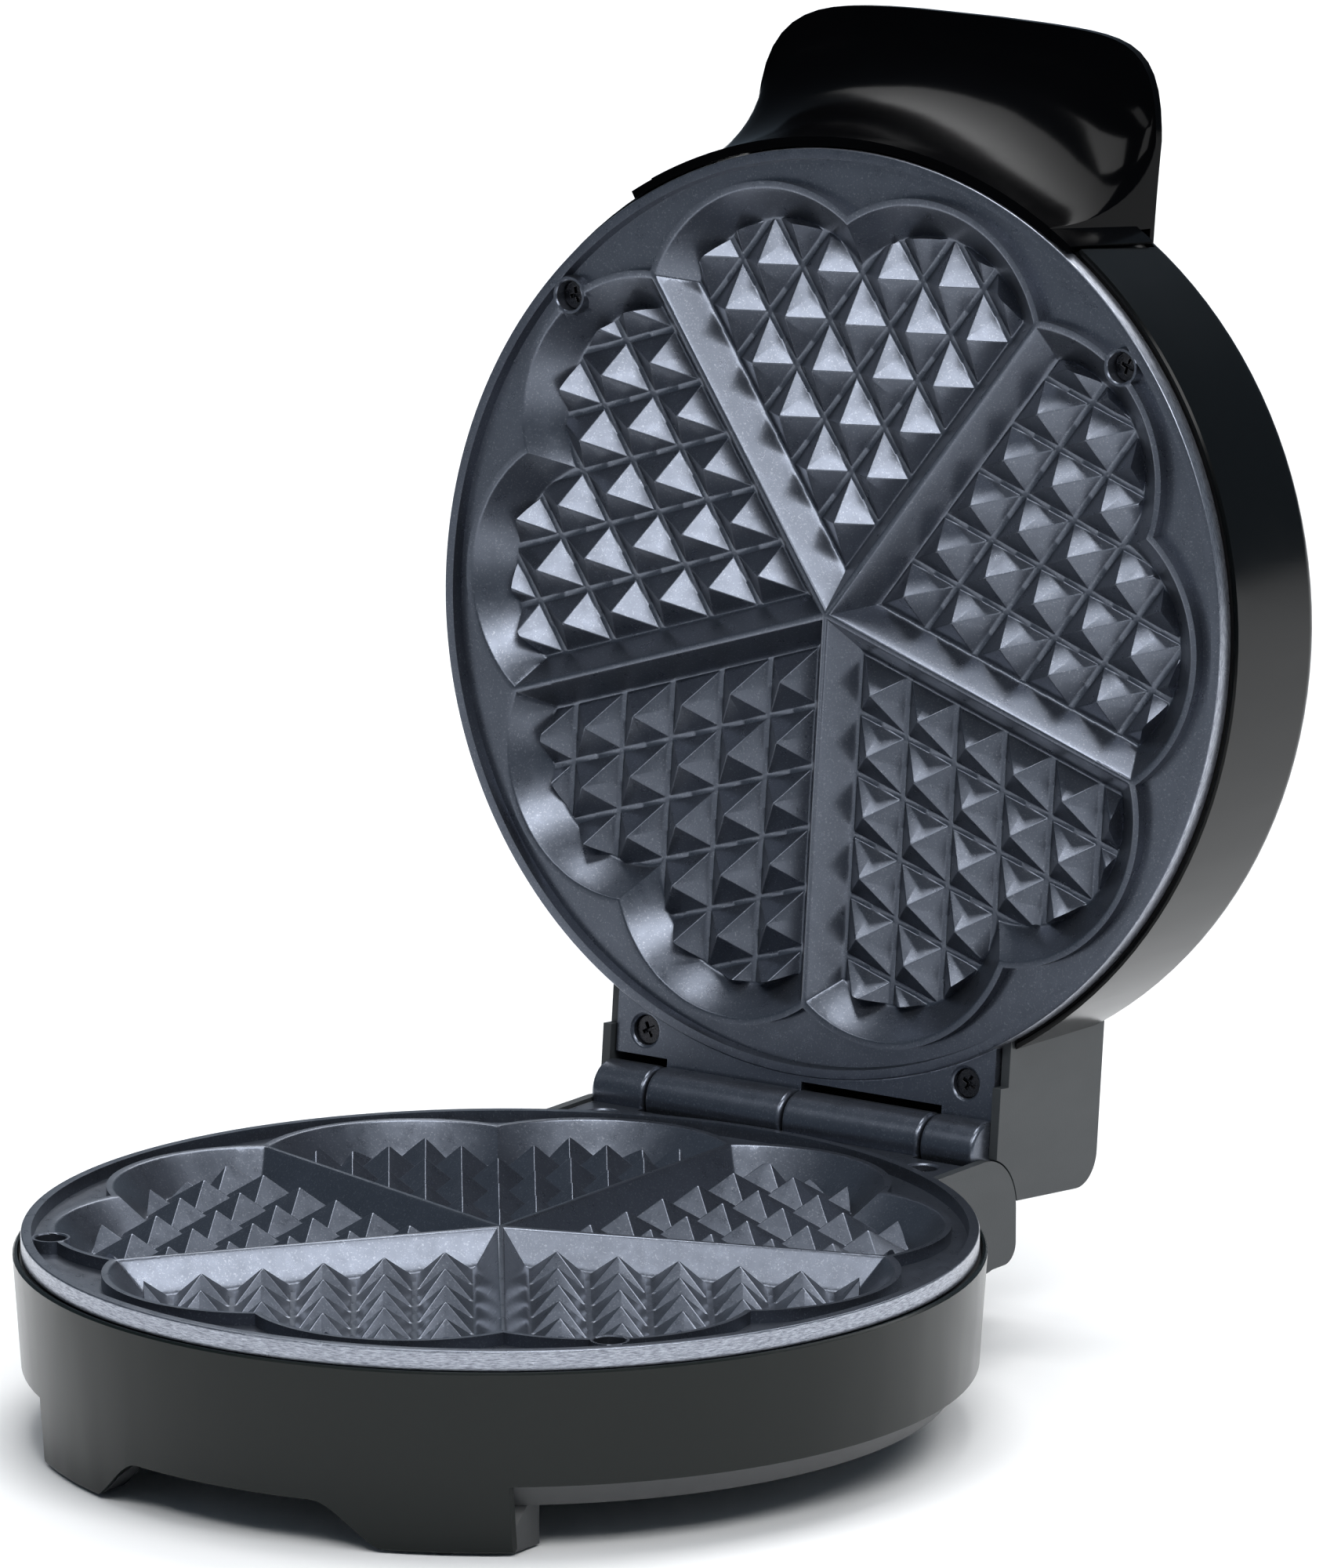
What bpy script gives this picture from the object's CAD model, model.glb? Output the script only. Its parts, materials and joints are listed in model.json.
# Looks of the waffle maker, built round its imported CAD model.
# Shapes are worked out in millimetres and turned into metres when a piece is made.
# A plate is worked out in its own frame: origin in the middle of the plate, on the
# parting plane, +Z out of the baking face, +Y towards the hinge. A heart is worked out
# pointing along +Y, and only its half with x >= 0, which is then mirrored and repeated.
import json
import math

import bmesh
import bpy
import numpy as np
from mathutils import Matrix, Vector
from mathutils.geometry import delaunay_2d_cdt


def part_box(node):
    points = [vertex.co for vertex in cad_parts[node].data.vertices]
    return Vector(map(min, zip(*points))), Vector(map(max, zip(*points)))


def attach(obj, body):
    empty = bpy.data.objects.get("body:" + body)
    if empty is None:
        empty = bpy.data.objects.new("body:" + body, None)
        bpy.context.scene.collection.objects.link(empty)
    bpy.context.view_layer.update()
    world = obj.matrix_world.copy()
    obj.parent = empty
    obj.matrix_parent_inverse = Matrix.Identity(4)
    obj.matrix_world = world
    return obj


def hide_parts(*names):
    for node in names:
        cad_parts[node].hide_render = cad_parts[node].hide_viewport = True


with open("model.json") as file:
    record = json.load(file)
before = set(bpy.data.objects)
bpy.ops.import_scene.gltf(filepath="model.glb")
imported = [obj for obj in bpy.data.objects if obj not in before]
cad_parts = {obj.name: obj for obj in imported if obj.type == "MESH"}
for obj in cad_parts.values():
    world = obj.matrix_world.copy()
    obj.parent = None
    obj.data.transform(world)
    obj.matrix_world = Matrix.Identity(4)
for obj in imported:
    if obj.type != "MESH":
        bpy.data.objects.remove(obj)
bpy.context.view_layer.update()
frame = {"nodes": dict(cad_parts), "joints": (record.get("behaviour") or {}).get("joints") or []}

MM = 0.001

# ---------- sizes of a baking plate ----------
# In millimetres. A drop is measured down from the parting plane.

PLATE_R = 93.2            # rim
RIM_W = 2.4
RIM_ROUND = 0.35
RIM_SIDE = 4.0            # drop of the lower end of the rim's turned side
NEST_R = 90.8             # body of the plate, which sits inside the drum
PLATE_T = 9.3
FACE = 0.15               # drop of the highest face
GUTTER = 2.6              # drop of the gutter between the hearts' lips and the rim
LIP_ROOT = 0.3            # how far a lip's outer side reaches below the gutter

HEARTS = 5
SECTOR = math.radians(360 / HEARTS)
TURNS = [math.pi + k * SECTOR for k in range(HEARTS)]
RIB = (math.sin(SECTOR / 2), math.cos(SECTOR / 2))   # direction of the rib beside a heart
CREST = 0.8               # width of a rib's top
RIB_FOOT = 4.6            # width of a rib's sloping side
POCKET = 6.9              # drop of a heart's floor
LOBE = (17.2, 54.1)       # middle of the heart's lobe
LOBE_TOP_R = 29.9
LOBE_FLOOR_R = 23.4
LOBE_SLOPE = POCKET / (LOBE_TOP_R - LOBE_FLOOR_R)
LIP = 1.2
LIP_R = LOBE_TOP_R + LIP
HEARTS_MEET_R = 50        # nearer the plate's middle there are only hearts

# The lobe's wall bounds the heart beyond a slanting line, and beyond a height on the axis.
DIVIDE_AT = (29.4, 40.5)
DIVIDE_NORMAL = (19.5, 12.2)
DIVIDE_TOP = 60

PITCH = 11.7              # between two ridges
POINT_H = 5.5
VALLEY = 1.2              # flat between two diamonds
RIDGES = 6
FIRST_RIDGE = CREST / 2 + RIB_FOOT + PITCH / 2
HALF_RIDGE = (PITCH - VALLEY) / 2

RIM_SCREW = (66.2, -57.1)
HINGE_SCREW = (38.8, 89.4)
RIM_SEATS, HINGE_SEATS = ([(side * x, y) for side in (1, -1)] for x, y in (RIM_SCREW, HINGE_SCREW))
SEATS = RIM_SEATS + HINGE_SEATS
SEAT_R = 3.05
SEAT_DROP = 3.7
SEAT_EDGE = 0.25          # chamfer of a seat's edge
SEAT_SLACK = 0.05         # how near a seat's circle a mesh corner still counts as on it
DISH_W = 0.6              # hollow round the seats in the flange
DISH_DROP = 0.45
BOSS_R = 3.9              # ring boss round the seats at the rim
BOSS_INNER = BOSS_R - 0.15
BOSS_OUTER = BOSS_R + 0.1
BOSS_TOP = -0.12          # height, a little above the highest face
BOSS_FALL = 3.0           # from the boss's top to below the gutter

FLANGE_W = 45.7           # half its width
FLANGE_DROP = 1.6
FLANGE_T = 5.0
FLANGE_FROM = 60          # the flange lies beyond this distance towards the hinge
KNUCKLE_R = 6.0
KNUCKLE_ROUND = 0.9
KNUCKLE_END = 46.4
KNUCKLE_SHORT = 33.3
KNUCKLE_SLOT = 0.25
NOTCH_GAP = 1.4           # between the flange and the other plate's knuckle

# ---------- places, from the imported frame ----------

hinge = frame["joints"][0]
HINGE = Vector(hinge["pos_m"]) / MM
OPEN = math.radians(hinge["range_deg"][1])
PARTING = HINGE.z
CENTRE_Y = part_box("lower_plate")[0].y / MM + PLATE_R
HINGE_Y = HINGE.y - CENTRE_Y
NOTCH_Y = HINGE_Y - KNUCKLE_R - NOTCH_GAP

AT_PARTING = Matrix.Translation((0, CENTRE_Y, PARTING))
IN_LID = (Matrix.Translation((0, HINGE.y, PARTING)) @ Matrix.Rotation(-OPEN, 4, "X")
          @ Matrix.Translation((0, -HINGE_Y, 0)))
TURNED_OVER = Matrix.Rotation(math.pi, 4, "Y")


# ---------- materials ----------

class Recipe:
    """A material whose nodes are added one call at a time."""

    def __init__(self, name, colour, metallic, roughness, specular=0.5):
        self.material = bpy.data.materials.new(name)
        self.material.use_nodes = True
        self.tree = self.material.node_tree
        self.shader = self.tree.nodes["Principled BSDF"]
        self.shader.inputs["Base Color"].default_value = (*colour, 1)
        self.shader.inputs["Metallic"].default_value = metallic
        self.shader.inputs["Roughness"].default_value = roughness
        self.shader.inputs["Specular IOR Level"].default_value = specular
        self.colour = colour
        self.place = self.add("ShaderNodeTexCoord").outputs["Object"]

    def add(self, kind, inputs=None, **settings):
        node = self.tree.nodes.new(kind)
        for key, value in settings.items():
            setattr(node, key, value)
        for key, value in (inputs or {}).items():
            if isinstance(value, bpy.types.NodeSocket):
                self.tree.links.new(value, node.inputs[key])
            else:
                node.inputs[key].default_value = value
        return node

    def noise(self, size_mm, detail, rough=0.55, stretch=None):
        """Noise whose features are about size_mm across."""
        where = self.place
        if stretch:
            mapping = self.add("ShaderNodeMapping", {"Vector": where, "Scale": stretch})
            where = mapping.outputs["Vector"]
        return self.add("ShaderNodeTexNoise", {
            "Vector": where, "Scale": 1 / (size_mm * MM), "Detail": detail, "Roughness": rough,
        }).outputs["Fac"]

    def spread(self, value, low, high, out_low=0.0, out_high=1.0):
        return self.add("ShaderNodeMapRange", {
            "Value": value, "From Min": low, "From Max": high,
            "To Min": out_low, "To Max": out_high,
        }).outputs["Result"]

    def blend(self, factor, a, b):
        mix = self.add("ShaderNodeMix", data_type="RGBA")
        self.tree.links.new(factor, mix.inputs["Factor"])
        for key, value in (("A", a), ("B", b)):
            if isinstance(value, bpy.types.NodeSocket):
                self.tree.links.new(value, mix.inputs[key])
            else:
                mix.inputs[key].default_value = (*value, 1)
        return mix.outputs["Result"]

    def tint(self, factor, darker, lighter):
        """Colour that runs from darker to lighter times the base colour."""
        return self.blend(factor, [c * darker for c in self.colour],
                          [min(1, c * lighter) for c in self.colour])

    def bump(self, height, depth_mm, strength=1.0, over=None):
        inputs = {"Height": height, "Distance": depth_mm * MM, "Strength": strength}
        if over is not None:
            inputs["Normal"] = over
        return self.add("ShaderNodeBump", inputs).outputs["Normal"]

    def connect(self, **sockets):
        """Links the shader's sockets, or sets the ones that are given as numbers."""
        for key, value in sockets.items():
            socket = self.shader.inputs[key.replace("_", " ")]
            if isinstance(value, bpy.types.NodeSocket):
                self.tree.links.new(value, socket)
            else:
                socket.default_value = value


def moulded(name, colour, roughness, grain_mm=0.35, grain_depth=0.012, specular=0.5):
    """Moulded plastic or rubber: fine spark texture, faint cloudiness and rub marks."""
    r = Recipe(name, colour, 0.0, roughness, specular)
    clouds = r.noise(22, 4)
    grain = r.noise(grain_mm, 2)
    rubs = r.noise(9, 5, 0.7, (1.0, 0.25, 1.0))
    r.connect(Base_Color=r.tint(clouds, 0.85, 1.18),
              Roughness=r.spread(rubs, 0.3, 0.75, roughness * 0.9, roughness * 1.15),
              Normal=r.bump(grain, grain_depth))
    return r.material


def worked_metal(name, colour, roughness, line_mm, along, depth):
    """Metal with fine drawn or turned lines, which run along the axis that is shrunk."""
    r = Recipe(name, colour, 1.0, roughness)
    lines = r.noise(line_mm, 3, 0.6, along)
    stains = r.noise(7, 5, 0.65)
    r.connect(Base_Color=r.tint(stains, 0.72, 1.12),
              Roughness=r.spread(lines, 0.3, 0.7, roughness * 0.8, roughness * 1.25),
              Normal=r.bump(lines, depth))
    return r.material


SLATE = (0.118, 0.131, 0.160)
FLAKE = (0.25, 0.265, 0.30)
GROUND_DARK = (0.13, 0.14, 0.17)
GROUND_BRIGHT = (0.52, 0.55, 0.62)


def cast_coating(name, turn, shift):
    """Non-stick coating on cast aluminium: slate, satin, with a fine metallic sparkle.

    The rim's outer side is ground bright, with slanting scratches. turn and shift take
    the piece's own coordinates to the plate's frame, whose axis is Z.
    """
    r = Recipe(name, SLATE, 0.88, 0.30)
    flakes = r.noise(0.40, 2, 0.6)
    flow = r.noise(13, 4, 0.6)
    wear = r.noise(3.2, 5, 0.7)
    orange_peel = r.noise(0.9, 3, 0.6)
    sparkle = r.spread(flakes, 0.57, 0.72, 0.0, 0.7)
    coat = r.blend(sparkle, r.tint(flow, 0.82, 1.16), FLAKE)

    # the ground band is a thin shell of radii round the rim's side
    local = r.add("ShaderNodeMapping", {"Vector": r.place, "Rotation": turn, "Location": shift})
    parts = r.add("ShaderNodeSeparateXYZ", {"Vector": local.outputs["Vector"]})
    flat = r.add("ShaderNodeCombineXYZ", {"X": parts.outputs["X"], "Y": parts.outputs["Y"]})
    reach = r.add("ShaderNodeVectorMath", {0: flat.outputs["Vector"]}, operation="LENGTH")
    reach = reach.outputs["Value"]
    edge = r.spread(reach, (PLATE_R - 0.20) * MM, (PLATE_R - 0.08) * MM)
    inside = r.spread(reach, (PLATE_R + 0.15) * MM, (PLATE_R + 0.3) * MM, 1.0, 0.0)
    ground = r.add("ShaderNodeMath", {0: edge, 1: inside}, operation="MULTIPLY").outputs["Value"]

    slant = r.add("ShaderNodeMapping", {
        "Vector": local.outputs["Vector"], "Rotation": (0.5, 0.35, 0.0), "Scale": (1.0, 1.0, 8.0),
    }).outputs["Vector"]
    scratches = r.add("ShaderNodeTexNoise", {
        "Vector": slant, "Scale": 620.0, "Detail": 6.0, "Roughness": 0.75,
    }).outputs["Fac"]
    bright = r.blend(r.spread(scratches, 0.35, 0.68), GROUND_DARK, GROUND_BRIGHT)

    relief = r.bump(flakes, 0.006, 0.6)
    relief = r.bump(orange_peel, 0.012, 0.8, relief)
    relief = r.bump(scratches, 0.012, 0.25, relief)
    r.connect(Base_Color=r.blend(ground, coat, bright),
              Roughness=r.spread(wear, 0.25, 0.75, 0.25, 0.35),
              Normal=relief)
    return r.material


def lacquered(name, colour, roughness, line_depth, specular):
    """Dark lacquer over brushed sheet: the brush lines run round the drum."""
    r = Recipe(name, colour, 0.0, roughness, specular)
    lines = r.noise(0.14, 4, 0.6, (0.06, 0.06, 1.0))
    haze = r.noise(30, 4)
    r.connect(Base_Color=r.tint(r.spread(lines, 0.3, 0.7), 0.80, 1.30),
              Roughness=r.spread(haze, 0.3, 0.7, roughness * 0.92, roughness * 1.1),
              Normal=r.bump(lines, line_depth))
    return r.material


def glossy(name, colour, roughness, specular=0.5):
    """Polished moulding or glaze: slight waviness of the surface, hairline rub marks."""
    r = Recipe(name, colour, 0.0, roughness, specular)
    waves = r.noise(16, 2)
    hairlines = r.noise(0.3, 5, 0.8, (1.0, 0.04, 1.0))
    r.connect(Base_Color=r.tint(waves, 0.8, 1.2),
              Roughness=r.spread(hairlines, 0.55, 0.85, roughness, roughness * 2.2),
              Normal=r.bump(waves, 0.05, 0.5))
    return r.material


def tinted(name, colour):
    """Translucent lens with faint moulding flow lines."""
    r = Recipe(name, colour, 0.0, 0.12)
    flow = r.noise(1.6, 4)
    r.connect(Base_Color=r.tint(flow, 0.75, 1.25),
              Roughness=r.spread(flow, 0.3, 0.7, 0.08, 0.16),
              Normal=r.bump(flow, 0.01),
              Transmission_Weight=0.35)
    return r.material


def braid(name, colour):
    """Glass-fibre sleeve: crossed threads."""
    r = Recipe(name, colour, 0.0, 0.7)
    threads = r.noise(0.25, 3, 0.6, (1.0, 0.3, 1.0))
    r.connect(Base_Color=r.tint(threads, 0.7, 1.15),
              Roughness=r.spread(threads, 0.3, 0.7, 0.6, 0.8),
              Normal=r.bump(threads, 0.06))
    return r.material


EVEN, ALONG_X = (1, 1, 1), (0.03, 1, 1)
LOWER_COATING = cast_coating("lower_coating", (0, 0, 0), Vector((0, -CENTRE_Y, -PARTING)) * MM)
UPPER_COATING = cast_coating("upper_coating", (OPEN, 0, 0),
                             (Vector((0, HINGE_Y, 0)) - Matrix.Rotation(OPEN, 3, "X") @ HINGE) * MM)
COVER = moulded("cover_plastic", (0.040, 0.044, 0.047), 0.40, specular=0.35)
CHASSIS = moulded("chassis_plastic", (0.050, 0.052, 0.054), 0.45)
FRAME = moulded("frame_plastic", (0.010, 0.010, 0.011), 0.5)
RUBBER = moulded("rubber", (0.020, 0.020, 0.020), 0.75, 0.5, 0.03)
NYLON = moulded("nylon", (0.74, 0.73, 0.68), 0.5)
BASE_LACQUER = lacquered("base_lacquer", (0.0040, 0.0062, 0.0056), 0.24, 0.004, 0.26)
LID_LACQUER = lacquered("lid_lacquer", (0.0012, 0.0014, 0.0014), 0.17, 0.002, 0.14)
HANDLE_BLACK = glossy("handle_black", (0.0008, 0.0008, 0.0010), 0.12, 0.035)
CERAMIC = glossy("glazed_ceramic", (0.72, 0.70, 0.63), 0.14)
BLACK_OXIDE = worked_metal("black_oxide", (0.055, 0.055, 0.060), 0.28, 0.3, EVEN, 0.01)
ZINC = worked_metal("zinc_plate", (0.62, 0.62, 0.62), 0.32, 0.3, EVEN, 0.006)
HEATER = worked_metal("heater_tube", (0.36, 0.34, 0.32), 0.45, 0.4, EVEN, 0.01)
CAP_METAL = worked_metal("thermostat_cap", (0.62, 0.57, 0.42), 0.33, 0.3, EVEN, 0.005)
BRIGHT_SHEET = worked_metal("bright_sheet", (0.80, 0.80, 0.80), 0.26, 0.2, (0.05, 1, 1), 0.004)
PIN_STEEL = worked_metal("pin_steel", (0.60, 0.60, 0.62), 0.24, 0.1, ALONG_X, 0.003)
SLEEVE = braid("fuse_sleeve", (0.76, 0.73, 0.62))
LEAD = braid("lead_braid", (0.62, 0.57, 0.48))
NEON = tinted("neon_bulb", (0.90, 0.62, 0.45))
RED_LENS = tinted("red_lens", (0.60, 0.02, 0.015))
GREEN_LENS = tinted("green_lens", (0.03, 0.42, 0.09))

NODE_MATERIALS = {
    # base
    "base_shell": BASE_LACQUER, "base_chassis": CHASSIS, "base_feet": CHASSIS,
    "base_hinge_cover": COVER, "lower_plate": LOWER_COATING, "lower_heating_element": HEATER,
    "lower_reflector": BRIGHT_SHEET, "lower_reflector_screws": ZINC,
    "lower_plate_screws": BLACK_OXIDE, "thermostat": CAP_METAL, "terminal_block": CERAMIC,
    "base_wiring": LEAD, "cord_gland": RUBBER, "foot_pads": RUBBER, "base_cover_screws": ZINC,
    "hinge_pin": PIN_STEEL,
    # lid
    "lid_shell": LID_LACQUER, "lid_frame": FRAME, "lid_hinge_cover": COVER,
    "handle": HANDLE_BLACK, "handle_screws": ZINC, "upper_plate": UPPER_COATING,
    "upper_heating_element": HEATER, "upper_reflector": BRIGHT_SHEET,
    "upper_reflector_screws": ZINC, "upper_plate_screws": BLACK_OXIDE, "thermal_fuse": SLEEVE,
    "lamp_holder": NYLON, "neon_lamps": NEON, "power_lamp_lens": RED_LENS,
    "ready_lamp_lens": GREEN_LENS, "lid_wiring": LEAD, "lid_cover_screws": ZINC,
}
for node, material in NODE_MATERIALS.items():
    mesh = frame["nodes"][node].data
    mesh.materials.clear()
    mesh.materials.append(material)


# ---------- height of a baking face ----------

# How far from the fold between two surfaces they start to melt into one.
CORNER_SOFT = 0.25        # rib's side and lobe's wall
FLOOR_SOFT = 0.5          # walls and floor
POINT_SOFT = 0.22         # the two ridges that cross in a diamond
FOOT_SOFT = 0.10          # diamonds and floor
TOP_SOFT = 0.22           # walls and the highest face
RIDGE_SOFT = 0.012        # a ridge's two sides, squared
RIDGE_LIFT = 0.02         # makes up for the height that this costs
FADE_END, FADE_W = 0.1, 0.3   # diamonds fade out just inside the lobe's floor
NO_WALL = -99.0
SLACK = 0.02              # what lies this little past a line still counts as on it


def soft_max(a, b, k):
    return 0.5 * (a + b + np.sqrt((a - b) ** 2 + k * k))


def soft_min(a, b, k):
    return -soft_max(-a, -b, k)


def across_ribs(x, y):
    """Distances of a point, in a heart that points along +Y, from its two ribs' middles."""
    s, c = RIB
    return y * s - x * c, y * s + x * c


def from_lobe(x, y):
    """Distance from the lobe's centre, and whether the lobe's wall bounds the heart here."""
    reach = np.hypot(x - LOBE[0], y - LOBE[1])
    across = (x - DIVIDE_AT[0]) * DIVIDE_NORMAL[0] + (y - DIVIDE_AT[1]) * DIVIDE_NORMAL[1]
    return reach, (across > 0) | (y > DIVIDE_TOP)


def ridge_height(t):
    """Height above the floor of the ridges that run along a rib, at distance t from it."""
    crests = FIRST_RIDGE + PITCH * np.arange(RIDGES)
    off = np.min(np.abs(t[:, None] - crests[None, :]), axis=1)
    return POINT_H * (1 + RIDGE_LIFT - np.sqrt(off * off + RIDGE_SOFT) / HALF_RIDGE)


def heart_height(x, y):
    """Height of the baking face inside one half heart."""
    a, b = across_ribs(x, y)
    reach, outside = from_lobe(x, y)
    rib_side = -(a - CREST / 2) * POCKET / RIB_FOOT
    lobe_wall = np.where(outside, (reach - LOBE_TOP_R) * LOBE_SLOPE, NO_WALL)
    bowl = soft_max(soft_max(rib_side, lobe_wall, CORNER_SOFT), -POCKET, FLOOR_SOFT)
    points = soft_min(ridge_height(a), ridge_height(b), POINT_SOFT)
    fade = np.clip((LOBE_FLOOR_R - FADE_END - reach) / FADE_W, 0, 1)
    points = np.where(outside, points * fade, points)
    return soft_min(soft_max(bowl, points - POCKET, FOOT_SOFT), -FACE, TOP_SOFT)


def with_boss(z, d):
    """Raises the face to the ring boss of a rim screw, d away from the screw's middle."""
    outer_side = BOSS_FALL * np.clip((d - BOSS_INNER) / (BOSS_OUTER - BOSS_INNER), 0, 1)
    chamfer = SEAT_EDGE * np.clip((SEAT_R + SEAT_EDGE - d) / SEAT_EDGE, 0, 1)
    ring = BOSS_TOP - outer_side - chamfer
    return np.where(d < BOSS_OUTER + SLACK, np.maximum(z, ring), z)


def surround_height(x, y):
    """Height of the plate's top outside the hearts: gutter, rim, bosses and flange."""
    r = np.hypot(x, y)
    z = -GUTTER + (GUTTER - FACE) * np.clip((r - (PLATE_R - RIM_W)) / RIM_ROUND, 0, 1)
    z = z - RIM_ROUND * np.clip((r - (PLATE_R - RIM_ROUND)) / RIM_ROUND, 0, 1) ** 2
    on_flange = r > PLATE_R + SLACK
    z = np.where(on_flange, -FLANGE_DROP, z)
    for sx, sy in RIM_SEATS:
        z = with_boss(z, np.hypot(x - sx, y - sy))
    for sx, sy in HINGE_SEATS:
        d = np.hypot(x - sx, y - sy)
        dish = -FLANGE_DROP - DISH_DROP * np.clip((SEAT_R + DISH_W - d) / DISH_W, 0, 1) ** 2
        z = np.where(on_flange, np.minimum(z, dish), z)
    return z


# ---------- outlines of a baking plate ----------

class Lines:
    """Points and edges gathered for a triangulation."""

    def __init__(self):
        self.points, self.edges = [], []

    def path(self, points, closed=False):
        first, n = len(self.points), len(points)
        self.points += [tuple(p) for p in points]
        self.edges += [(first + i, first + (i + 1) % n) for i in range(n if closed else n - 1)]

    def circle(self, r, centre=(0, 0), n=220):
        turns = np.arange(n) * 2 * math.pi / n
        self.path([(centre[0] + r * math.cos(t), centre[1] + r * math.sin(t)) for t in turns], True)

    def arc(self, r, centre, start, end, n):
        turns = np.linspace(start, end, n)
        self.path([(centre[0] + r * math.cos(t), centre[1] + r * math.sin(t)) for t in turns])

    def inside(self, region, p, q, samples):
        """The run of the straight line from p to q that lies inside a region."""
        t = np.linspace(0, 1, samples)
        x, y = p[0] + (q[0] - p[0]) * t, p[1] + (q[1] - p[1]) * t
        hits = np.flatnonzero(region(x, y))
        if len(hits) > 3:
            self.path([(x[hits[0]], y[hits[0]]), (x[hits[-1]], y[hits[-1]])])

    def triangles(self, keep):
        """Corners, and the triangles between all lines whose middles pass the test."""
        verts, _, faces, *_ = delaunay_2d_cdt([Vector(p) for p in self.points], self.edges,
                                              [], 0, 1e-5)
        verts = np.array([tuple(v) for v in verts])
        faces = np.array([tuple(f) for f in faces])
        middle = verts[faces].mean(axis=1)
        return verts, faces[keep(middle[:, 0], middle[:, 1])]


# Lines that the triangles follow, close to each side of every fold in the face.
RIDGE_LINES = (-0.35, -0.12, 0.12, 0.35)      # from a ridge's crest
FOOT_LINES = (-0.15, 0.15)                    # from a ridge's foot
CREASE_LINES = (-0.16, 0.16)                  # from where two ridges cross
CORNER_LINES = (-0.18, 0.0, 0.18)             # from where a rib meets the lobe's wall
RIB_LINES = (0.0, 0.25, 0.5, 0.8, 1.5, 2.2, 2.9, 3.7, 4.5, 4.8, 5.1, 5.4)   # from its middle
LOBE_RINGS = (LOBE_FLOOR_R - 0.4, LOBE_FLOOR_R - 0.1, LOBE_FLOOR_R + 0.15, LOBE_FLOOR_R + 0.45,
              24.6, 25.5, 26.5, 27.5, 28.5, LOBE_TOP_R - 0.4, LOBE_TOP_R - 0.15,
              LOBE_TOP_R + 0.15, LIP_R - 0.2, LIP_R)
LOBE_ARC = (math.radians(-60), math.radians(190))
BOSS_RINGS = (SEAT_R, SEAT_R + SEAT_EDGE, BOSS_INNER, BOSS_OUTER)
RIM_RINGS = (PLATE_R - RIM_W, PLATE_R - RIM_W + RIM_ROUND, PLATE_R - RIM_ROUND,
             PLATE_R - 0.15, PLATE_R, PLATE_R + 0.05)
SEAT_SIDES = 40
FAR = 95.0                # past the rim
HEART_W = 60              # more than half a heart's width
UPRIGHT_CREASES, LEVEL_CREASES = 9, 12
COARSE, FINE = 240, 900   # samples along a line
FLOOR_FROM_RIB = 4.0      # from a rib's middle, a little inside its foot
# Lines run a little past the heart's axis, so that the axis cuts them all cleanly.
FLOOR_OVERRUN, CREASE_OVERRUN, HEART_OVERRUN = 0.9, 0.8, 0.5


def on_floor(x, y):
    a, _ = across_ribs(x, y)
    reach, outside = from_lobe(x, y)
    return (a > FLOOR_FROM_RIB) & (x > -FLOOR_OVERRUN) & (~outside | (reach < LOBE_FLOOR_R + 0.2))


def in_heart(x, y):
    a, _ = across_ribs(x, y)
    reach, outside = from_lobe(x, y)
    return (x > -HEART_OVERRUN) & (a > -SLACK) & (~outside | (reach < LIP_R))


def folded(x, y):
    """A point of the plate, turned and mirrored into the half heart it repeats."""
    reach = math.hypot(x, y)
    away = (math.atan2(x, y) - math.pi) % SECTOR
    away = min(away, SECTOR - away)
    return reach * math.sin(away), reach * math.cos(away)


def corner_of_rib_and_lobe(z, shift):
    """Where, at a height, the rib's side meets the lobe's wall, moved sideways a little."""
    s, c = RIB
    a = CREST / 2 - z * RIB_FOOT / POCKET + shift
    reach = LOBE_TOP_R + z / LOBE_SLOPE
    along = LOBE[0] * s + LOBE[1] * c
    across = -LOBE[0] * c + LOBE[1] * s - a
    t = along + math.sqrt(max(0.0, reach ** 2 - across ** 2))
    return t * s - a * c, t * c + a * s


def half_heart():
    """Triangulated half of a heart, from the middle of a rib to the outside of the lip."""
    s, c = RIB
    lines = Lines()
    for k in range(RIDGES):
        crest = FIRST_RIDGE + k * PITCH
        feet = [crest + e * HALF_RIDGE + d for e in (-1, 1) for d in FOOT_LINES]
        for t in [crest + d for d in RIDGE_LINES] + feet:
            for side in (1, -1):
                start = (-side * t * c, t * s)
                end = (start[0] + side * FAR * s, start[1] + FAR * c)
                lines.inside(on_floor, start, end, COARSE)
    for m in range(UPRIGHT_CREASES):
        x = m * PITCH / (2 * c)
        for d in CREASE_LINES if m else CREASE_LINES[1:]:
            lines.inside(on_floor, (x + d, 0), (x + d, FAR), COARSE)
    for n in range(LEVEL_CREASES):
        y = (2 * FIRST_RIDGE + n * PITCH) / (2 * s)
        for d in CREASE_LINES:
            lines.inside(on_floor, (-CREASE_OVERRUN, y + d), (HEART_W, y + d), COARSE)
    for a in RIB_LINES:
        start = (-a * c, a * s)
        lines.inside(in_heart, start, (start[0] + FAR * s, start[1] + FAR * c), FINE)
    lines.inside(in_heart, (0, 0), (0, FAR), FINE)
    for r in LOBE_RINGS:
        lines.arc(r, LOBE, *LOBE_ARC, 90)
    for r in BOSS_RINGS:
        lines.circle(r, folded(*RIM_SCREW), SEAT_SIDES)
    for shift in CORNER_LINES:
        lines.path([corner_of_rib_and_lobe(z, shift) for z in np.linspace(-POCKET, -FACE, 32)])

    def keep(x, y):
        a, _ = across_ribs(x, y)
        reach, outside = from_lobe(x, y)
        return (x > 0) & (a > 0) & (~outside | (reach < LIP_R))

    return lines.triangles(keep)


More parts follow.
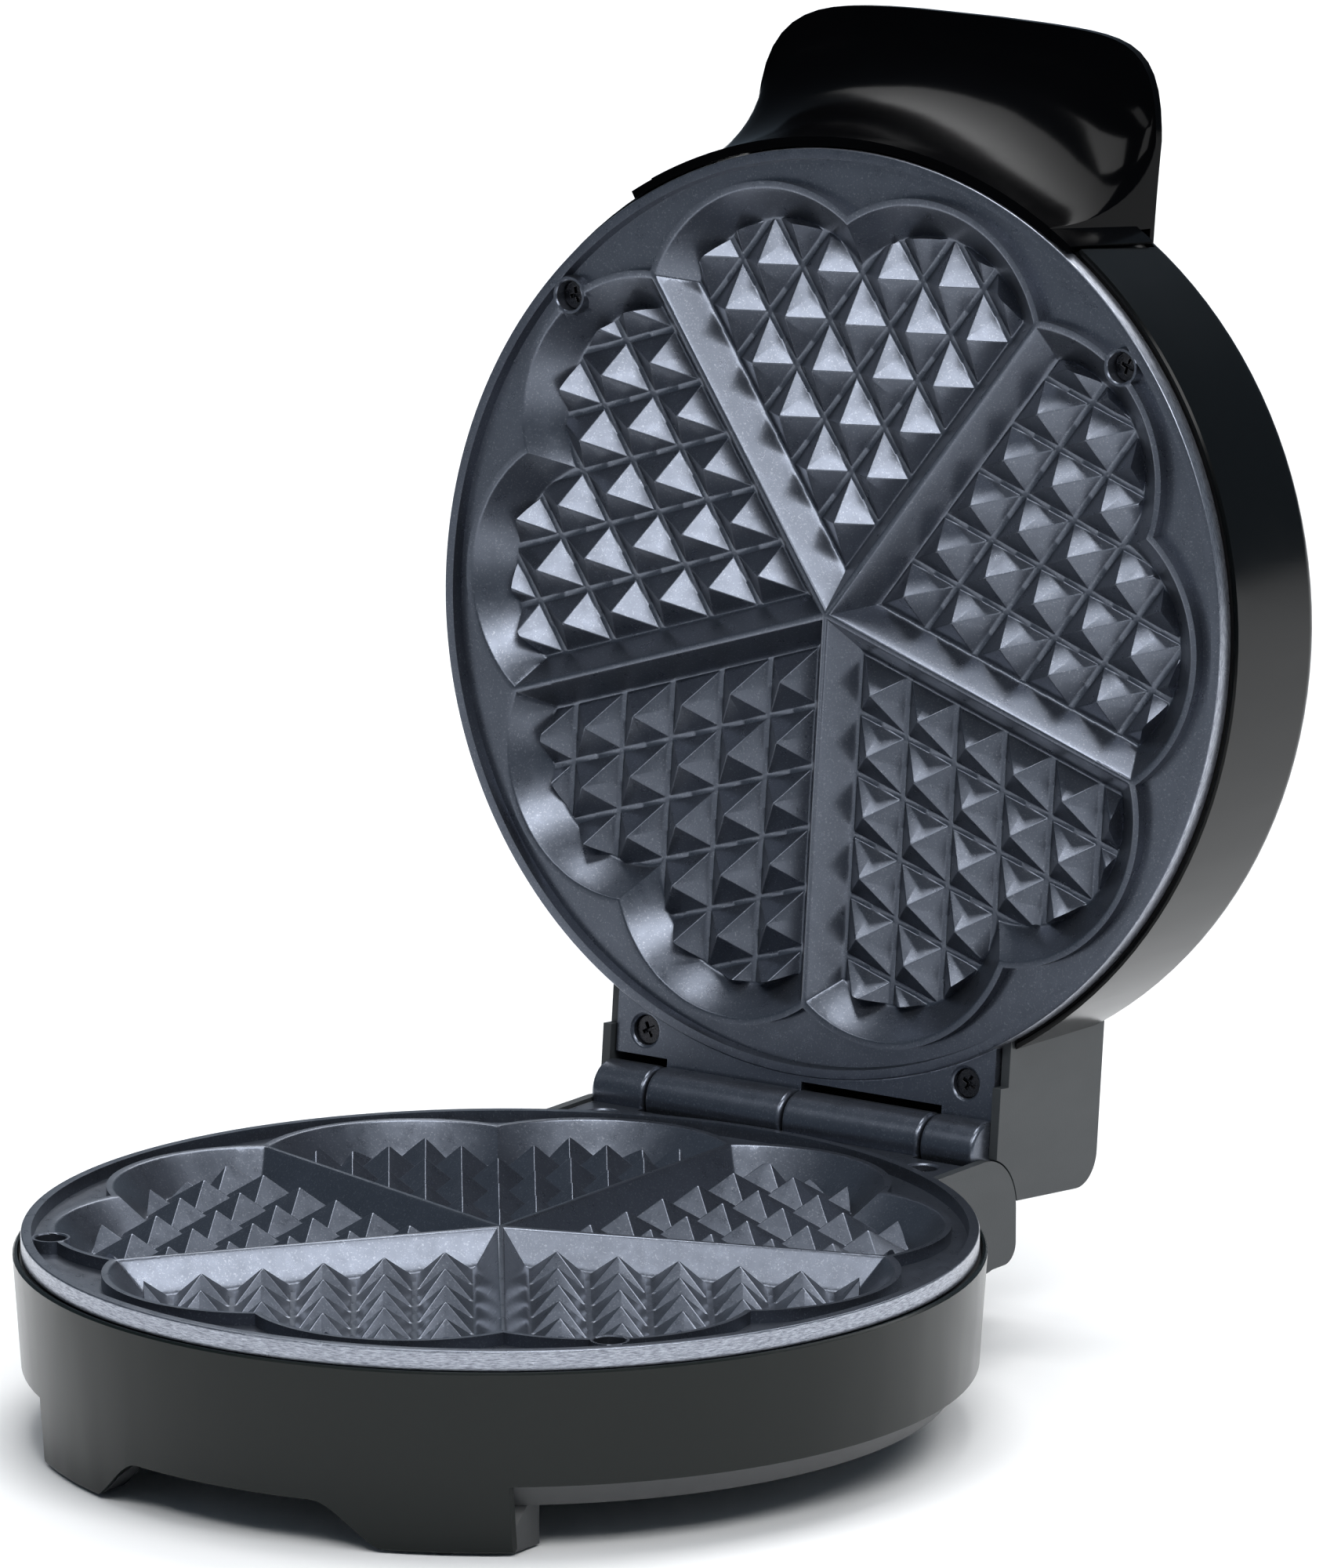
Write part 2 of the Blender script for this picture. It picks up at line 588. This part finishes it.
def flange_outline():
    """Corners of the flange behind the rim, with the notches for the other half's knuckles."""
    g = KNUCKLE_SLOT
    start = math.sqrt(PLATE_R ** 2 - FLANGE_W ** 2) - 1    # a little inside the rim
    return [(FLANGE_W, start), (FLANGE_W, NOTCH_Y), (KNUCKLE_SHORT - g, NOTCH_Y),
            (KNUCKLE_SHORT - g, HINGE_Y), (g, HINGE_Y), (g, NOTCH_Y),
            (-KNUCKLE_SHORT - g, NOTCH_Y), (-KNUCKLE_SHORT - g, HINGE_Y),
            (-FLANGE_W, HINGE_Y), (-FLANGE_W, start)]


def inside_flange(x, y):
    g = KNUCKLE_SLOT
    own_knuckle = ((x > g) & (x < KNUCKLE_SHORT - g)) | (x < -KNUCKLE_SHORT - g)
    return ((np.abs(x) < FLANGE_W) & (y > FLANGE_FROM)
            & ((y < NOTCH_Y) | (own_knuckle & (y < HINGE_Y))))


def outside_hearts(x, y):
    away = np.hypot(x, y) > HEARTS_MEET_R
    for turn in TURNS:
        c, s = math.cos(turn), math.sin(turn)
        hx, hy = x * c + y * s, -x * s + y * c
        for side in (1, -1):
            away &= np.hypot(side * hx - LOBE[0], hy - LOBE[1]) > LIP_R
    return away


# ---------- mesh of a baking plate ----------

WELD = 0.004
RIM_BAND = 0.5            # an open edge this near the rim belongs to the rim's side
BODY_TOP = POCKET + 0.6   # drop of the body's top, hidden below the hearts' floors
KNUCKLE_SIDES, BODY_SIDES = 48, 120
SHARP = math.radians(38)


def add_hearts(bm):
    wedge, faces = half_heart()
    height = heart_height(np.maximum(wedge[:, 0], 0), wedge[:, 1])
    for turn in TURNS:
        c, s = math.cos(turn), math.sin(turn)
        for side in (1, -1):
            x, y = side * wedge[:, 0], wedge[:, 1]
            px, py = x * c - y * s, x * s + y * c
            from_screw = np.min([np.hypot(px - sx, py - sy) for sx, sy in RIM_SEATS], axis=0)
            verts = [bm.verts.new(v) for v in zip(px, py, with_boss(height, from_screw))]
            for f in faces:
                if from_screw[f].max() > SEAT_R + SEAT_SLACK:
                    bm.faces.new([verts[i] for i in (f if side > 0 else f[::-1])])
    bmesh.ops.remove_doubles(bm, verts=bm.verts, dist=WELD)
    loose = [v for v in bm.verts if not v.link_faces]
    bmesh.ops.delete(bm, geom=loose, context="VERTS")


def add_surround(bm):
    """Gutter, rim and flange, which start where the outsides of the lips end."""
    lines = Lines()
    index = {}
    for e in [e for e in bm.edges if e.is_boundary]:
        for v in e.verts:
            if v not in index:
                index[v] = len(lines.points)
                lines.points.append((v.co.x, v.co.y))
        lines.edges.append((index[e.verts[0]], index[e.verts[1]]))
    for r in RIM_RINGS:
        lines.circle(r)
    for seat in SEATS:
        for r in (SEAT_R, SEAT_R + SEAT_EDGE, SEAT_R + DISH_W, BOSS_INNER, BOSS_OUTER):
            lines.circle(r, seat, SEAT_SIDES)
    lines.path(flange_outline(), True)

    def keep(x, y):
        hole = np.zeros_like(x, dtype=bool)
        for sx, sy in SEATS:
            hole |= np.hypot(x - sx, y - sy) < SEAT_R
        on_plate = (np.hypot(x, y) < PLATE_R) | inside_flange(x, y)
        return outside_hearts(x, y) & ~hole & on_plate

    verts, faces = lines.triangles(keep)
    z = surround_height(verts[:, 0], verts[:, 1])
    corners = {i: bm.verts.new((*verts[i], z[i])) for i in np.unique(faces)}
    for f in faces:
        bm.faces.new([corners[i] for i in f])


def wall_bottom(x, y):
    """How far down the wall below an open edge reaches, or None where there is no wall."""
    r = math.hypot(x, y)
    if any(math.hypot(x - sx, y - sy) < SEAT_R + 2 * SEAT_SLACK for sx, sy in SEATS):
        return -SEAT_DROP
    # a little farther out, so that a lip's own edge counts as outside its heart
    beyond = outside_hearts(np.array([x * 1.001]), np.array([y * 1.001]))[0]
    if beyond and r < PLATE_R - RIM_BAND:
        return -GUTTER - LIP_ROOT
    if r > PLATE_R + RIM_BAND:
        return -FLANGE_DROP - FLANGE_T
    if r > PLATE_R - RIM_BAND:
        return -RIM_SIDE
    return None


def add_walls(bm):
    """Walls down from the open edges of lips, seats, rim and flange."""
    walls = []
    for e in [e for e in bm.edges if e.is_boundary]:
        loop = e.link_loops[0]
        p, q = loop.vert, loop.link_loop_next.vert
        middle = (p.co + q.co) / 2
        bottom = wall_bottom(middle.x, middle.y)
        if bottom is not None and max(p.co.z, q.co.z) > bottom:
            walls.append([q.co.copy(), p.co.copy(),
                          (p.co.x, p.co.y, bottom), (q.co.x, q.co.y, bottom)])
    for corners in walls:
        bm.faces.new([bm.verts.new(v) for v in corners])
    bmesh.ops.remove_doubles(bm, verts=bm.verts, dist=WELD)


def add_rings(bm, rings):
    """A closed solid through rings of points, the first and last being its ends."""
    rows = [[bm.verts.new(v) for v in ring] for ring in rings]
    n = len(rows[0])
    for a, b in zip(rows, rows[1:]):
        for i in range(n):
            bm.faces.new([a[i], a[(i + 1) % n], b[(i + 1) % n], b[i]])
    bm.faces.new(rows[0][::-1])
    bm.faces.new(rows[-1])


def full_turn(n):
    return np.arange(n) * 2 * math.pi / n


def add_knuckles(bm):
    soft = KNUCKLE_ROUND
    for start, end in ((-KNUCKLE_END, -KNUCKLE_SHORT), (0, KNUCKLE_SHORT)):
        a, b = start + KNUCKLE_SLOT, end - KNUCKLE_SLOT
        steps = [(a + soft * (1 - math.cos(t)), KNUCKLE_R - soft * (1 - math.sin(t)))
                 for t in np.linspace(0, math.pi / 2, 6)]
        steps += [(a + b - x, r) for x, r in reversed(steps)]
        add_rings(bm, [[(x, HINGE_Y + r * math.cos(t), r * math.sin(t))
                        for t in full_turn(KNUCKLE_SIDES)] for x, r in steps])


def add_body(bm):
    add_rings(bm, [[(NEST_R * math.cos(t), NEST_R * math.sin(t), z)
                    for t in full_turn(BODY_SIDES)] for z in (-PLATE_T, -BODY_TOP)])


def plate_mesh(name, place):
    """One baking plate, moved to its place."""
    bm = bmesh.new()
    for add in (add_hearts, add_surround, add_walls, add_knuckles, add_body):
        add(bm)
    bmesh.ops.transform(bm, matrix=Matrix.Scale(MM, 4) @ place, verts=bm.verts)
    mesh = bpy.data.meshes.new(name)
    bm.to_mesh(mesh)
    bm.free()
    mesh.shade_smooth()
    mesh.set_sharp_from_angle(angle=SHARP)
    return mesh


# ---------- pieces ----------

def new_piece(name, mesh, body, material, stands_for):
    piece = bpy.data.objects.new(name, mesh)
    bpy.context.scene.collection.objects.link(piece)
    mesh.materials.append(material)
    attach(piece, body)
    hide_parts(*stands_for)
    return piece


def add_plate(half, body, coating, place):
    """A baking plate in the place of its CAD node."""
    name = half + "_baking_face"
    mesh = plate_mesh(name, place)
    face = new_piece(name, mesh, body, coating, [half + "_plate"])
    normals = face.modifiers.new("normals", "WEIGHTED_NORMAL")
    normals.keep_sharp = True
    normals.weight = 100
    normals.thresh = 0.001


def soften(piece, width):
    """Rounds a piece's edges a little, so that they catch the light."""
    weld = piece.modifiers.new("weld", "WELD")
    weld.merge_threshold = 0.01 * MM
    flats = piece.modifiers.new("flats", "DECIMATE")
    flats.decimate_type = "DISSOLVE"
    flats.angle_limit = math.radians(1)
    bevel = piece.modifiers.new("soften", "BEVEL")
    bevel.width = width * MM
    bevel.segments = 2
    bevel.limit_method = "ANGLE"
    bevel.angle_limit = math.radians(30)
    bevel.use_clamp_overlap = True
    bevel.harden_normals = False
    normals = piece.modifiers.new("normals", "WEIGHTED_NORMAL")
    normals.keep_sharp = False
    normals.weight = 80
    piece.data.shade_smooth()


add_plate("lower", "base", LOWER_COATING, AT_PARTING)
add_plate("upper", "lid", UPPER_COATING, IN_LID @ TURNED_OVER)

# the CAD pieces that show, each with the width of its edges' rounding
EDGES = {
    "base_chassis": 0.35, "base_feet": 0.35, "base_hinge_cover": 0.5, "lid_hinge_cover": 0.5,
    "lid_shell": 0.25, "base_shell": 0.25, "lower_plate_screws": 0.12, "upper_plate_screws": 0.12,
    "cord_gland": 0.25, "foot_pads": 0.3, "base_cover_screws": 0.12, "handle": 0.4,
}
for node, width in EDGES.items():
    soften(frame["nodes"][node], width)


# ---------- stage, in metres ----------

FLOOR_HALF = 6.0
PALE = (0.90, 0.90, 0.90)
SKY = (0.62, 0.80, 1.0)
SKY_STRENGTH = 0.17
MIDDLE = (0, 0, 0.12)     # of the waffle maker


def area_light(name, place, aim, size, power):
    light = bpy.data.lights.new(name, "AREA")
    light.shape = "RECTANGLE"
    light.size, light.size_y = size
    light.energy = power
    lamp = bpy.data.objects.new(name, light)
    lamp.location = place
    lamp.rotation_euler = (Vector(aim) - Vector(place)).to_track_quat("-Z", "Y").to_euler()
    bpy.context.scene.collection.objects.link(lamp)


def build_stage():
    mesh = bpy.data.meshes.new("floor")
    corners = [(x * FLOOR_HALF, y * FLOOR_HALF, 0) for x, y in ((-1, -1), (1, -1), (1, 1), (-1, 1))]
    mesh.from_pydata(corners, [], [(0, 1, 2, 3)])
    mesh.materials.append(Recipe("floor_paint", PALE, 0.0, 0.8, 0.2).material)
    floor = bpy.data.objects.new("floor", mesh)
    bpy.context.scene.collection.objects.link(floor)

    world = bpy.data.worlds.new("studio")
    bpy.context.scene.world = world
    world.use_nodes = True
    background = world.node_tree.nodes["Background"]
    background.inputs["Color"].default_value = (*SKY, 1)
    background.inputs["Strength"].default_value = SKY_STRENGTH

    area_light("key", (1.0, -0.6, 1.3), MIDDLE, (1.5, 0.5), 17)
    area_light("front_strip", (-0.25, -1.15, 1.45), MIDDLE, (1.1, 0.35), 6)
    area_light("overhead", (-0.1, 0.1, 2.2), MIDDLE, (1.0, 0.8), 22)
    area_light("back_wash", (-0.6, 2.4, 2.6), (-0.6, 2.0, 0), (4.0, 2.6), 130)


# ---------- camera, in millimetres ----------
# A long lens from the front right, a little above the table, fitted to the photograph.

AZIMUTH, ELEVATION = math.radians(34.909), math.radians(12.834)
DISTANCE = 2671.5
AIM = Vector((-0.3, CENTRE_Y + 55.2, 118.1))
SENSOR_H = 36
LENS = 312.45
CLIP_END_M = 50


def build_camera():
    back = Vector((math.sin(AZIMUTH) * math.cos(ELEVATION),
                   -math.cos(AZIMUTH) * math.cos(ELEVATION), math.sin(ELEVATION)))
    data = bpy.data.cameras.new("camera")
    data.sensor_fit = "VERTICAL"
    data.sensor_height = SENSOR_H
    data.lens = LENS
    data.clip_end = CLIP_END_M
    camera = bpy.data.objects.new("camera", data)
    camera.location = (AIM + back * DISTANCE) * MM
    camera.rotation_euler = back.to_track_quat("Z", "Y").to_euler()
    bpy.context.scene.collection.objects.link(camera)
    bpy.context.scene.camera = camera


build_stage()
build_camera()
bpy.context.scene.view_settings.view_transform = "Standard"
